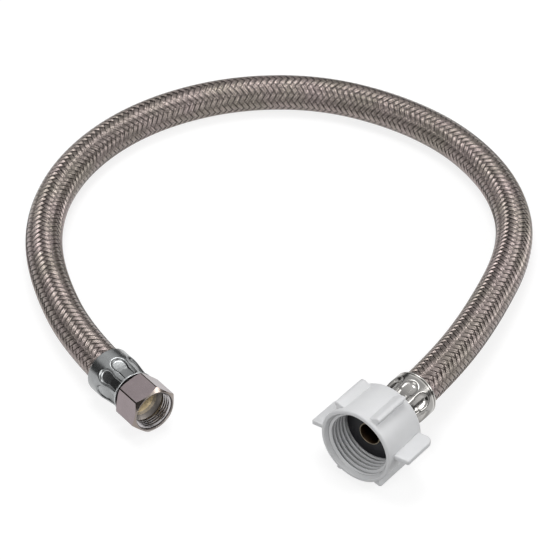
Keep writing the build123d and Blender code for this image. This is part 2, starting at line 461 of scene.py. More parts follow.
class Effect(Graph):
    """A shader node group that several finishes share."""

    def __init__(self, name: str, inputs: dict[str, object], outputs: dict[str, str]) -> None:
        """Start a group.

        Args:
            name: the group's name.
            inputs: each input's default: a number, a colour of four numbers, or None for
                a vector.
            outputs: each output's socket type.
        """
        super().__init__(bpy.data.node_groups.new(name, "ShaderNodeTree"))
        face = self.tree.interface
        for socket_name, default in inputs.items():
            kind = {type(None): "Vector", tuple: "Color", float: "Float"}[type(default)]
            socket = face.new_socket(socket_name, in_out="INPUT", socket_type=f"NodeSocket{kind}")
            if default is not None:
                socket.default_value = default
        for socket_name, kind in outputs.items():
            face.new_socket(socket_name, in_out="OUTPUT", socket_type=f"NodeSocket{kind}")
        self.given = self.tree.nodes.new("NodeGroupInput").outputs
        self.sink = self.tree.nodes.new("NodeGroupOutput").inputs

    def give(self, **results: Socket) -> Tree:
        """Join the results to the group's outputs and return the group."""
        for name, socket in results.items():
            self.tree.links.new(socket, self.sink[name])
        return self.tree


@cache
def mottle_effect() -> Tree:
    """Return the group that makes a colour a little uneven over a surface."""
    inputs = {"Vector": None, "Color": (0.5, 0.5, 0.5, 1.0), "Scale": 200.0, "Amount": 0.1}
    effect = Effect("mottle", inputs, {"Color": "Color"})
    given = effect.given
    noise = effect.noise(given["Vector"], given["Scale"], Detail=6.0, Roughness=0.6)
    loss = effect.math("MULTIPLY", effect.spread(noise, (0.3, 0.7)), given["Amount"])
    kept = effect.math("SUBTRACT", 1.0, loss)
    return effect.give(Color=effect.vector("SCALE", {0: given["Color"], "Scale": kept}))


@cache
def turning_marks_effect() -> Tree:
    """Return the group that draws the fine rings that a lathe leaves about Z."""
    inputs = {"Vector": None, "Rings": 3000.0, "Roughness": 0.3, "Amount": 0.1}
    effect = Effect("turning_marks", inputs, {"Roughness": "Float", "Height": "Float"})
    given = effect.given
    place = effect.vector("MULTIPLY", {0: given["Vector"], 1: (0.02, 0.02, 1.0)})
    noise = effect.noise(place, given["Rings"], Detail=3.0)
    change = effect.math("MULTIPLY", effect.math("SUBTRACT", noise, 0.5), given["Amount"])
    total = effect.math("ADD", change, given["Roughness"], use_clamp=True)
    return effect.give(Roughness=total, Height=noise)


# ------------------------------------------------------------------ finishes
class Finish(ABC):
    """A material's recipe. A finish is made once for each place that it is used in."""

    name: str
    color: Color

    def material(self, seat: Seat | None = None) -> bpy.types.Material:
        """Make the material.

        Args:
            seat: the fitting whose axis the pattern follows, if it follows one.

        Returns:
            The material.
        """
        made = bpy.data.materials.new(self.name)
        made.use_nodes = True
        graph = Graph(made.node_tree)
        shader = graph.node("BsdfPrincipled", self.dress(graph, self._place(graph, seat)))
        graph.node("OutputMaterial", {"Surface": shader.outputs["BSDF"]})
        return made

    def _place(self, graph: Graph, seat: Seat | None) -> Socket:
        """Return the pattern's coordinates: the model's, or the fitting's own."""
        place = graph.node("TexCoord").outputs["Object"]
        if seat is None:
            return place
        feeds = {"Vector": place, "Location": seat.mouth, "Rotation": seat.turn().to_euler()}
        return graph.node("Mapping", feeds, vector_type="TEXTURE").outputs["Vector"]

    def _mottled(self, graph: Graph, place: Socket, scale: float, amount: float) -> Socket:
        """Return the finish's colour, a little uneven."""
        feeds = {"Vector": place, "Color": (*self.color, 1.0), "Scale": scale, "Amount": amount}
        return graph.node("Group", feeds, node_tree=mottle_effect()).outputs["Color"]

    @abstractmethod
    def dress(self, graph: Graph, place: Socket) -> dict[str, object]:
        """Build the material's nodes.

        Args:
            graph: the material's nodes.
            place: the pattern's coordinates.

        Returns:
            What feeds the shader, by its inputs' names.
        """


@dataclass(frozen=True)
class PlatedMetal(Finish):
    """Plated or turned metal with fine lathe rings and a slightly uneven tone."""

    name: str
    color: Color
    roughness: float
    mottle: float = 0.12
    # Whether the colour is multiplied by the pressed sleeve's painted shade and highlight.
    shaded: bool = False
    mottle_scale: float = 260.0
    rings: float = 2500.0
    ring_amount: float = 0.12
    ring_height: float = 0.000004

    def dress(self, graph: Graph, place: Socket) -> dict[str, object]:
        """Build the material's nodes; see Finish."""
        color = self._mottled(graph, place, self.mottle_scale, self.mottle)
        # Multiply by the painted shade and highlight that the pressed sleeve stores on its points.
        if self.shaded:
            shade = graph.attribute(PressedSleeve.ATTRIBUTE, "Fac")
            color = graph.vector("SCALE", {0: color, "Scale": shade})
        feeds = {
            "Vector": place,
            "Rings": self.rings,
            "Roughness": self.roughness,
            "Amount": self.ring_amount,
        }
        marks = graph.node("Group", feeds, node_tree=turning_marks_effect()).outputs
        return {
            "Base Color": color,
            "Roughness": marks["Roughness"],
            "Normal": graph.bump(marks["Height"], self.ring_height),
            "Metallic": 1.0,
        }


@dataclass(frozen=True)
class MouldedPlastic(Finish):
    """Matte moulded plastic with a fine skin texture."""

    name: str
    color: Color
    roughness: float = 0.42
    mottle: float = 0.05
    mottle_scale: float = 120.0
    skin_scale: float = 2600.0
    skin_height: float = 0.000012
    glow_depth: Color = (0.002, 0.002, 0.0022)
    glow_weight: float = 0.08

    def dress(self, graph: Graph, place: Socket) -> dict[str, object]:
        """Build the material's nodes; see Finish."""
        skin = graph.noise(place, self.skin_scale, Detail=3.0)
        return {
            "Base Color": self._mottled(graph, place, self.mottle_scale, self.mottle),
            "Normal": graph.bump(skin, self.skin_height),
            "Roughness": self.roughness,
            "Subsurface Weight": self.glow_weight,
            "Subsurface Radius": self.glow_depth,
            "Subsurface Scale": 1.0,
        }


@dataclass(frozen=True)
class Rubber(Finish):
    """Black rubber with a dusty, faintly grainy skin."""

    name: str
    color: Color = (0.014, 0.014, 0.017)
    roughness: float = 0.55
    mottle: float = 0.3
    mottle_scale: float = 400.0
    grain_scale: float = 3500.0
    grain_height: float = 0.00002

    def dress(self, graph: Graph, place: Socket) -> dict[str, object]:
        """Build the material's nodes; see Finish."""
        grain = graph.noise(place, self.grain_scale)
        return {
            "Base Color": self._mottled(graph, place, self.mottle_scale, self.mottle),
            "Normal": graph.bump(grain, self.grain_height),
            "Roughness": self.roughness,
        }


@dataclass(frozen=True)
class BraidWire(Finish):
    """Drawn wire in flat strands, with shade painted dark between the wires, at the strands' edges
    and where a strand dips under, and darker random streaks.
    """

    name: str
    warm: Color = (0.62, 0.52, 0.50)
    cool: Color = (0.55, 0.49, 0.435)
    painted_shade_and_streak: Color = (0.012, 0.008, 0.006)
    roughness: float = 0.26
    groove_range: Pair = (0.05, 0.9)
    groove_tone: Pair = (0.06, 1.0)
    edge_range: Pair = (0.37, 0.48)
    edge_tone: Pair = (1.0, 0.04)
    dip_range: Pair = (0.0, 0.85)
    dip_tone: Pair = (0.15, 1.0)
    streak_stretch: Place = (9.0, 0.35, 0.0)
    streak_range: Pair = (0.3, 0.7)
    streak_tone: Pair = (0.38, 1.0)
    drift_scale: float = 70.0
    drift_range: Pair = (0.35, 0.65)

    def dress(self, graph: Graph, place: Socket) -> dict[str, object]:
        """Build the material's nodes; see Finish."""
        weave = graph.attribute(Braid.ATTRIBUTE, "Vector")
        across, _, lift = graph.node("SeparateXYZ", {0: weave}).outputs
        wires, fill = float(Braid.wires_per_strand), Braid.strand_fill
        # How far across its strand a point lies, in wires from one edge.
        share = graph.math("FRACT", graph.math("ADD", across, fill / 2))
        inside = graph.math("MULTIPLY", share, wires / fill)
        wave = graph.math("SINE", graph.math("MULTIPLY", inside, pi))
        # Painted shade: darker in the grooves between the wires, at the strand's edges in the gaps
        # between strands, and where the strand dips under the strands it crosses.
        tops = graph.spread(graph.math("ABSOLUTE", wave), self.groove_range, self.groove_tone)
        off = graph.math("ABSOLUTE", graph.math("SUBTRACT", inside, wires / 2))
        near, far = self.edge_range
        edges = graph.spread(off, (wires * near, wires * far), self.edge_tone)
        raised = graph.spread(lift, self.dip_range, self.dip_tone)
        stretched = graph.vector("MULTIPLY", {0: weave, 1: self.streak_stretch})
        streaks = graph.spread(graph.noise(stretched, 1.0), self.streak_range, self.streak_tone)
        bright_share = graph.math("MULTIPLY", tops, edges)
        for part in (raised, streaks):
            bright_share = graph.math("MULTIPLY", bright_share, part)
        drift = graph.spread(graph.noise(place, self.drift_scale), self.drift_range)
        wire = graph.mix(drift, (*self.warm, 1.0), (*self.cool, 1.0))
        # The wire's colour darkens towards the painted shade colour by the painted shade and the
        # random streaks.
        return {
            "Base Color": graph.mix(bright_share, (*self.painted_shade_and_streak, 1.0), wire),
            "Metallic": 1.0,
            "Roughness": self.roughness,
        }


def hand_over(
    piece: Object,
    body: str,
    finishes: Iterable[Finish],
    node: str,
    seat: Seat | None = None,
) -> Object:
    """Dress a piece, attach it to the body that it rides on and hide the node that it replaces.
        seat: the fitting whose axis the patterns follow, if they follow one.

    Returns:
        The piece.
    """
    for finish in finishes:
        piece.data.materials.append(finish.material(seat))
    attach(piece, body)
    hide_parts(node)
    return piece


# ------------------------------------------------------------------ hose
class Lay(Enum):
    """The way a strand winds round the hose."""

    RIGHT = 1
    LEFT = -1


@dataclass
class Braid:
    """The woven sleeve: flat strands of fine wire, each over two and under two others."""

    ATTRIBUTE = "weave"

    route: HoseRoute
    outer_radius: float = 6.76
    strands_each_way: int = 12
    turns: int = 16
    steps_per_crossing: int = 2
    wires_per_strand: int = 5
    strand_fill: float = 0.94
    wire_top: Pair = (0.28, 0.72)
    wire_height: float = 0.15
    strand_thickness: float = 0.30
    weave_drop: float = 0.36
    weave_squareness: float = 0.16
    crimp_length: float = 11.5
    crimp_squeeze: float = 0.95

    def __post_init__(self) -> None:
        """Work out the lay from the hose's length."""
        self.straight_length = self.route.length / MM
        self.lay_length = self.straight_length / self.turns
        self.strand_pitch = self.lay_length / self.strands_each_way

    def build(self) -> list[Object]:
        """Build the strands.

        Returns:
            Four objects: the odd and even strands of each lay.
        """
        pieces = []
        for lay in Lay:
            for first, parity in enumerate(("even", "odd")):
                mesh = bmesh.new()
                weave = mesh.verts.layers.float_vector.new(self.ATTRIBUTE)
                for strand in range(first, self.strands_each_way, 2):
                    self._add_turn(mesh, weave, lay, strand)
                self._repeat(mesh, weave)
                name = f"braid_{lay.name.lower()}_{parity}"
                piece = finished_object(name, mesh, smooth_below=75.0)
                self._crimp(piece.data)
                self.route.wrap(piece.data, self.straight_length)
                pieces.append(piece)
        return pieces

    def _strand_outline(self) -> list[Pair]:
        """Return a strand's section as (height, shift along the hose), with its wires."""
        width = self.strand_pitch * self.strand_fill
        wire = width / self.wires_per_strand
        points = []
        for index in range(self.wires_per_strand):
            start = index * wire - width / 2
            points.append((-self.wire_height, start))
            points += [(0.0, start + wire * share) for share in self.wire_top]
        points.append((-self.wire_height, width / 2))
        return points + [(-self.strand_thickness, edge) for edge in (width / 2, -width / 2)]

    def _add_turn(self, mesh: BMesh, weave: Layer, lay: Lay, strand: int) -> None:
        """Wind one strand once round the hose and weave it.

        Args:
            mesh: the mesh that gets the strand.
            weave: the layer for its place in the weave: across, along and lift.
            lay: the way it winds.
            strand: its number among those of its lay.
        """
        known = len(mesh.verts)
        outline = self._strand_outline()
        items = loop(mesh, [(self.outer_radius + height, 0, shift) for height, shift in outline])
        start = Matrix.Rotation(tau * strand / self.strands_each_way, 3, "Z")
        bmesh.ops.rotate(mesh, verts=vertices(items), cent=(0, 0, 0), matrix=start)
        steps = 2 * self.strands_each_way * self.steps_per_crossing
        wind(mesh, items, steps, lay.value * tau, self.lay_length / steps)
        mesh.verts.ensure_lookup_table()
        for vertex in mesh.verts[known:]:
            self._weave(vertex, weave, lay, strand)

    def _weave(self, vertex: BMVert, weave: Layer, lay: Lay, strand: int) -> None:
        """Move one point of a strand over or under the strands that it crosses.

        Args:
            vertex: the point.
            weave: the layer that notes its place in the weave.
            lay: the way its strand winds.
            strand: its strand's number.
        """
        x, y, z = vertex.co
        advance = z / self.lay_length
        centre = strand / self.strands_each_way + lay.value * advance
        turn = atan2(y, x) / tau
        turn += round(centre - turn)
        across = (turn - lay.value * advance) * self.strands_each_way
        along = (turn + lay.value * advance) * self.strands_each_way
        first_over = 0.5 if lay is Lay.RIGHT else 2.5
        wave = cos(tau * (along + strand - first_over) / 4)
        square = self.weave_squareness
        height = wave * sqrt((1 + square) / (wave * wave + square))
        lift = (1 + height) / 2
        radius = hypot(x, y)
        scale_radius(vertex, radius, radius - self.weave_drop * (1 - lift))
        vertex[weave] = (across, along, lift)

    def _repeat(self, mesh: BMesh, weave: Layer) -> None:
        """Repeat one turn of the strands along the hose, join the turns and close the ends."""
        first_turn = list(mesh.verts) + list(mesh.edges) + list(mesh.faces)
        for turn in range(1, self.turns):
            moved = vertices(bmesh.ops.duplicate(mesh, geom=first_turn)["geom"])
            bmesh.ops.translate(mesh, verts=moved, vec=(0, 0, turn * self.lay_length))
            shift = Vector((0, 2 * self.strands_each_way * turn, 0))
            for vertex in moved:
                vertex[weave] += shift
        joints = [vertex for vertex in mesh.verts if vertex.is_boundary]
        bmesh.ops.remove_doubles(mesh, verts=joints, dist=0.002)
        close_holes(mesh)
        bmesh.ops.recalc_face_normals(mesh, faces=mesh.faces)

    def _crimp(self, data: bpy.types.Mesh) -> None:
        """Squeeze the straight sleeve where the ferrules press on it."""
        points = read_points(data)
        from_end = np.minimum(points[:, 2], self.straight_length - points[:, 2])
        points[from_end < self.crimp_length, :2] *= self.crimp_squeeze
        data.vertices.foreach_set("co", points.ravel())


@dataclass
class Hose:
    """The hose: a rubber liner tube inside a woven steel sleeve."""

    route: HoseRoute
    outer_diameter: float = 13.4
    liner_radius: float = 6.02
    liner_bore: float = 4.1
    steps_round: int = 40
    step_length: float = 2.0

    def build(self) -> list[Object]:
        liner = self._liner()
        strands = Braid(self.route).build()
        wire = BraidWire("drawn_steel_wire").material()
        for strand in strands:
            strand.data.materials.append(wire)
            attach(strand, HOSE_BODY)
        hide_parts("hose_braid")
        hand_over(liner, HOSE_BODY, [Rubber("liner_rubber")], "hose_liner")
        return [liner, *strands]

    def _liner(self) -> Object:
        """Build the rubber tube, straight, and lay it on the route."""
        length = self.route.length / MM
        rings = round(length / self.step_length)
        places = [-length * ring / rings for ring in range(rings + 1)]
        outline = [(self.liner_radius, place) for place in places]
        outline += [(self.liner_bore, place) for place in reversed(places)]
        liner = finished_object("liner_tube", turned(outline, self.steps_round))
        self.route.wrap(liner.data, length)
        return liner


# ------------------------------------------------------------------ fittings
@dataclass
class PressedSleeve:
    """A crimped ferrule: a plated sleeve with a ring of pockets pressed into its neck."""

    # The vertex attribute that carries painted shade and highlight, a factor on the plating's
    # colour.
    ATTRIBUTE = "shade"

    name: str
    node: str
    slot: str
    seat: Seat
    front: float
    finish: Finish
    length: float = 16.2
    bore_radius: float = 4.35
    flange: float = 1.6
    lip_radius: float = 7.95
    lip_width: float = 0.5
    lip_flare: float = 1.2
    waist_radius: float = 7.55
    shoulder_radius: float = 8.55
    shoulder_width: float = 4.6
    rim_width: float = 1.4
    rim_groove: float = 0.0
    mouth_radius: float = 6.75
    mouth_length: float = 3.6
    crimp_radius: float = 6.45
    pockets: int = 8
    pocket_turn: float = 2.0
    pocket_floor: float = 7.0
    pocket_width: float = 4.0
    pocket_end: float = 10.4
    pocket_soft: float = 0.6
    scoop_width: float = 5.0
    scoop_start: float = 4.9
    scoop_dish: float = 0.4
    scoop_step: float = 0.85
    # How far the painted shade darkens the pockets' creases.
    crease_dark: float = 0.8
    steps_round: int = 320
    step_along: float = 0.25

    def build(self) -> Object:
        """Build and dress the sleeve."""
        mesh = turned(self._outline(), self.steps_round)
        shade = mesh.verts.layers.float.new(self.ATTRIBUTE)
        for vertex in mesh.verts:
            vertex[shade] = self._press(vertex)
        bmesh.ops.smooth_vert(
            mesh,
            verts=[vertex for vertex in mesh.verts if self._is_pressed(vertex)],
            factor=0.5,
            use_axis_x=True,
            use_axis_y=True,
            use_axis_z=True,
        )
        bmesh.ops.recalc_face_normals(mesh, faces=mesh.faces)
        sleeve = finished_object(self.name, mesh, self.seat.matrix(), smooth_below=50.0)
        return hand_over(sleeve, HOSE_BODY, [self.finish], self.node, self.seat)

    def _outline(self) -> list[Pair]:
        """Return the sleeve's section, with close points where pockets are pressed."""
        front, back = self.front, self.front + self.length
        shoulder = self.shoulder_radius
        shoulder_back = back - self.rim_width
        shoulder_front = shoulder_back - self.shoulder_width
        waist = front + self.lip_width + self.lip_flare
        points = [(self.bore_radius, front), (self.lip_radius - 0.35, front)]
        # The lip is a thin turned-up edge that flares out of the neck.
        bead = self.lip_width / 2
        for angle in (pi * part / 4 for part in range(5)):
            radius = self.lip_radius - bead + bead * sin(angle)
            points.append((radius, front + bead - bead * cos(angle)))
        foot = self.lip_radius - 0.2
        for share in (part / 6 for part in range(1, 6)):
            drop = (foot - self.waist_radius) * (share * (2 - share))
            points.append((foot - drop, front + self.lip_width + self.lip_flare * share))
        neck_steps = round((shoulder_front - waist) / self.step_along)
        for share in (part / neck_steps for part in range(neck_steps + 1)):
            swell = 0.45 * share + 0.55 * (share * share * (3 - 2 * share))
            radius = self.waist_radius + (shoulder - self.waist_radius) * swell
            points.append((radius, waist + (shoulder_front - waist) * share))
        steps = round(self.shoulder_width / self.step_along / 1.6)
        for part in range(1, steps + 1):
            points.append((shoulder, shoulder_front + self.shoulder_width * part / steps))
        # The hose-end rim: a groove, a rolled ring and a rounded drop to the hose.
        groove = [(0.2, 0.06), (0.8, 0.14), (1, 0.24), (1, 0.44), (0.8, 0.54), (0.1, 0.64)]
        drops = [(self.rim_groove * share, step) for share, step in groove]
        drops += [(0, 0.76), (0, 0.98), (0.12, 1.16), (0.42, 1.32)]
        points += [(shoulder - drop, shoulder_back + step) for drop, step in drops]
        return points + [
            (shoulder - 0.85, back),
            (self.mouth_radius + 0.2, back),
            (self.mouth_radius, back - 0.2),
            (self.mouth_radius, back - self.mouth_length),
            (self.crimp_radius, back - self.mouth_length - 0.3),
            (self.crimp_radius, front + self.flange),
            (self.bore_radius, front + self.flange),
        ]

    def _is_pressed(self, vertex: BMVert) -> bool:
        """Return whether a point lies on the outside where pockets are pressed."""
        depth = -vertex.co.z - self.front
        outside = hypot(vertex.co.x, vertex.co.y) > self.crimp_radius + 0.4
        return outside and self.lip_width + self.lip_flare * 0.4 < depth < self.pocket_end + 0.5

    def _press(self, vertex: BMVert) -> float:
        """Press one point of the outside into the nearest pocket.

        A pocket has a flat floor beside the lip and a dished scoop that rises towards the
        shoulder and ends in a round arch.

        Args:
            vertex: the point to move.

        Returns:
            The painted shade and highlight there, a factor on the plating's colour: darker in the
            creases and on the pocket floors, brighter on the scoops.
        """
        if not self._is_pressed(vertex):
            return self._rim_shade(vertex)
        radius = hypot(vertex.co.x, vertex.co.y)
        depth = -vertex.co.z - self.front
        spacing = 360 / self.pockets
        angle = degrees(atan2(vertex.co.y, vertex.co.x)) - self.pocket_turn
        angle = (angle + spacing / 2) % spacing - spacing / 2
        sideways = radius * sin(radians(angle))
        rise = clamped((depth - self.scoop_start) / (self.pocket_end - self.scoop_start))
        half = (self.pocket_width + (self.scoop_width - self.pocket_width) * min(rise * 3, 1.0)) / 2
        arch = self.pocket_end - self.scoop_width / 2
        beyond = hypot(sideways, max(depth - arch, 0.0)) - half
        wall = clamped(0.5 + beyond / self.pocket_soft)
        wall = wall * wall * (3 - 2 * wall)
        floor = self.pocket_floor / cos(radians(angle))
        top = self.shoulder_radius - self.scoop_step
        scoop = self.pocket_floor + (top - self.pocket_floor) * rise**1.2
        scoop += self.scoop_dish * (sideways / half) ** 2
        pressed = floor + (scoop - floor) * min(rise * 6, 1.0)
        scale_radius(vertex, radius, min(radius, pressed + (radius - pressed) * wall))
        # Painted shade in the creases and on the pocket floor, and a painted highlight that
        # brightens the scoop as it rises.
        crease = 4 * wall * (1 - wall)
        inside = (1 - wall) * (0.75 + 0.7 * rise) + wall
        return inside * (1 - self.crease_dark * crease)

    def _rim_shade(self, vertex: BMVert) -> float:
        """Return the painted shade or highlight at a point of the lip or the hose-end rim: brighter
        on the lip and the rolled ring, darker in the groove.
        """
        # Painted highlight on the lip and the rolled ring, painted shade in the groove.
        plain, lip, groove, ring = 1.0, 1.5, 0.25, 1.7
        depth = -vertex.co.z - self.front
        if depth <= self.lip_width + self.lip_flare * 0.4:
            return lip
        into_rim = depth - (self.length - self.rim_width)
        if self.rim_groove == 0 or not -0.5 < into_rim < 1.1:
            return plain
        return groove if 0.1 < into_rim < 0.58 else ring


@dataclass
class TurnedPiece:
    """A ring turned from its section, with its edges rounded."""

    name: str
    node: str
    slot: str
    seat: Seat
    finishes: Sequence[Finish]
    outline: Profile
    pick: Pick = lambda radius, depth: 0
    round_width: float = 0.12
    steps_round: int = 96

    def build(self) -> Object:
        """Build and dress the piece."""
        mesh = turned(self.outline, self.steps_round)
        soften(mesh, self.round_width)
        paint(mesh, self.pick)
        piece = finished_object(self.name, mesh, self.seat.matrix())
        return hand_over(piece, HOSE_BODY, self.finishes, self.node, self.seat)


@dataclass(frozen=True)
class BarbedTail:
    """The end of a stem that lies in the rubber tube: a bead and four barbs."""

    hose_depth: float
    bore: float
    neck: float = 4.3
    bead: float = 5.1
    bead_width: float = 0.85
    bead_lead: float = 0.9
    root: float = 3.6
    barb: float = 4.0
    barbs: int = 4
    pitch: float = 2.7

    def outline(self) -> list[Pair]:
        """Return its section as (radius, depth), from the stem's neck to its bore."""
        front = self.hose_depth - self.bead_lead
        back = front + self.bead_width
        points = [(self.neck, front), (self.bead, front), (self.bead, back), (self.root, back)]
        first = self.hose_depth + 1.0
        for start in (first + index * self.pitch for index in range(self.barbs)):
            points += [(self.root, start), (self.barb, start + 0.3), (self.barb, start + 0.7)]
            points.append((self.root, start + self.pitch - 0.1))
        end = first + self.barbs * self.pitch
        return points + [(self.root, end), (self.bore, end)]


class HexFinish(IntEnum):
    """The hexagon nut's finishes, by number."""

    FLAT = 0
    # Corner facets painted dark: a painted reflection along the hexagon's edges.
    CORNER = 1
    THREAD = 2
    CHAMFER = 3
    DULL = 4


class SeatFinish(IntEnum):
    """The compression stem's finishes, by number."""

    CUP = 0
    BRASS = 1
    BORE = 2
    WORN_EDGE = 3


@dataclass
class CompressionEnd:
    """The metal end: a hexagon nut on a brass stem, and its ferrule."""

    seat: Seat
    flats: float = 15.9
    nut_length: float = 11.2
    nut_turn: float = 14.5
    front_chamfer: float = 1.4
    back_chamfer: float = 0.6
    corner_blunt: float = 0.14
    rim_inset: float = 0.33
    mouth_ring: float = 0.25
    lead_in: float = 0.45
    bore_radius: float = 7.12
    bore_end: float = 5.2
    relief_radius: float = 6.95
    relief_start: float = 5.75
    neck_bore: float = 4.6
    seat_depth: float = 9.0
    dish: Profile = ((4.9, 7.9), (5.6, 7.13), (6.88, 5.7))
    collar_back: float = 8.8
    stem_neck: float = 4.3
    stem_bore: float = 2.6
    stem_bore_front: float = 10.4
    ferrule_front: float = 12.5
    hose_depth: float = 15.05
    steps_round: int = 144

    def __post_init__(self) -> None:
        """Work out the nut's corners and rim."""
        self.sharp_corner = self.flats / 2 / cos(radians(30))
        self.rim = self.flats / 2 - self.rim_inset

    def build(self) -> list[Object]:
        """Build and dress the end's pieces."""
        sleeve = PressedSleeve(
            name="compression_sleeve",
            node="compression_ferrule",
            slot="nickel_sleeve",
            seat=self.seat,
            front=self.ferrule_front,
            finish=PlatedMetal("dull_nickel", (0.365, 0.375, 0.378), 0.25, 0.25, shaded=True),
        )
        tail = BarbedTail(self.hose_depth, self.stem_bore).outline()
        back = self.collar_back
        collar = [(self.dish[-1][0], back), (self.stem_neck, back)]
        stem = TurnedPiece(
            name="compression_brass_stem",
            node="compression_stem",
            slot="brass",
            seat=self.seat,
            finishes=(
                PlatedMetal("plated_cup", (0.22, 0.20, 0.185), 0.42, 0.15),
                PlatedMetal("brass_seat", (0.74, 0.60, 0.37), 0.34, 0.25),
                PlatedMetal("brass_bore", (0.62, 0.42, 0.16), 0.4, 0.3),
                PlatedMetal("thin_plating", (0.42, 0.36, 0.275), 0.38, 0.2),
            ),
            outline=[*self.dish, *collar, *tail, (self.stem_bore, self.stem_bore_front)],
            pick=self._stem_finish,
            round_width=0.05,
        )
        return [self._nut(), sleeve.build(), stem.build()]

    def _stem_finish(self, radius: float, depth: float) -> int:
        """Return the stem's finish at a radius and a depth."""
        inner, worn = self.dish[0][0], self.dish[1][0]
        if depth > self.nut_length - 0.2 or radius > worn:
            return SeatFinish.CUP
        if radius > inner:
            return SeatFinish.WORN_EDGE
        in_dish = radius > self.stem_bore + 0.1 and depth < self.stem_bore_front - 0.1
        return SeatFinish.BRASS if in_dish else SeatFinish.BORE

    def _nut_finish(self, radius: float, depth: float) -> int:
        """Return the nut's finish at a radius and a depth."""
        wall = self.rim - self.mouth_ring
        if depth < self.lead_in - 0.01 and radius < wall + 0.02:
            return HexFinish.DULL
        if radius < wall and depth < self.bore_end - 0.05:
            return HexFinish.THREAD
        if radius < wall:
            return HexFinish.DULL if depth < self.seat_depth + 1 else HexFinish.FLAT
        if radius < self.rim + 0.02 and depth < 0.02:
            return HexFinish.DULL
        # The thin corner facets get the dark finish, a painted dark reflection along the edges.
        if radius > self.sharp_corner - 1.4 * self.corner_blunt and depth > 1.2:
            return HexFinish.CORNER
        chamfer = radius > self.rim + 0.05 and 0.02 < depth < self.front_chamfer
        return HexFinish.CHAMFER if chamfer else HexFinish.FLAT

    def _nut(self) -> Object:
        """Build and dress the hexagon nut."""
        corner = self.sharp_corner + 0.2
        outline = [
            (self.rim - self.mouth_ring, 0),
            (self.rim, 0),
            (corner, self.front_chamfer),
            (corner, self.nut_length - self.back_chamfer),
            (corner - 2 * self.back_chamfer, self.nut_length),
            (self.neck_bore, self.nut_length),
            (self.neck_bore, self.seat_depth),
            (self.relief_radius, self.seat_depth),
            (self.relief_radius, self.relief_start),
            (self.bore_radius, self.bore_end),
            (self.bore_radius, self.lead_in),
        ]
        mesh = turned(outline, self.steps_round)
        for offset, distance in ((0, self.flats / 2), (30, self.sharp_corner - self.corner_blunt)):
            for side in range(6):
                self._cut_flat(mesh, radians(self.nut_turn + offset + 60 * side), distance)
        thread = Thread(6.57, self.bore_radius, pitch=1.06, first_depth=0.75, turns=4.4)
        add_piece(mesh, thread.build())
        paint(mesh, self._nut_finish)
        nut = finished_object("compression_hex_nut", mesh, self.seat.matrix(), smooth_below=35.0)
        # The second finish paints the corner facets dark, as a painted reflection.
        finishes = (
            PlatedMetal("satin_chrome", (0.31, 0.262, 0.27), 0.24, 0.1),
            PlatedMetal("corner_painted_reflection", (0.12, 0.098, 0.085), 0.16),
            PlatedMetal("cut_thread", (0.52, 0.50, 0.505), 0.2),
            PlatedMetal("cut_chamfer", (0.30, 0.255, 0.23), 0.2),
            PlatedMetal("dull_plating", (0.30, 0.27, 0.255), 0.42, 0.1),
        )
        return hand_over(
            nut, "compression_nut", finishes, "compression_nut", self.seat
        )

    def _cut_flat(self, mesh: BMesh, angle: float, distance: float) -> None:
        """Cut a flat square to the radius at that angle, at that distance from the axis."""
        outward = Vector((-sin(angle), cos(angle), 0))
        bmesh.ops.bisect_plane(
            mesh,
            geom=list(mesh.verts) + list(mesh.edges) + list(mesh.faces),
            dist=0.0001,
            plane_co=outward * distance,
            plane_no=outward,
            clear_outer=True,
        )
        close_holes(mesh)


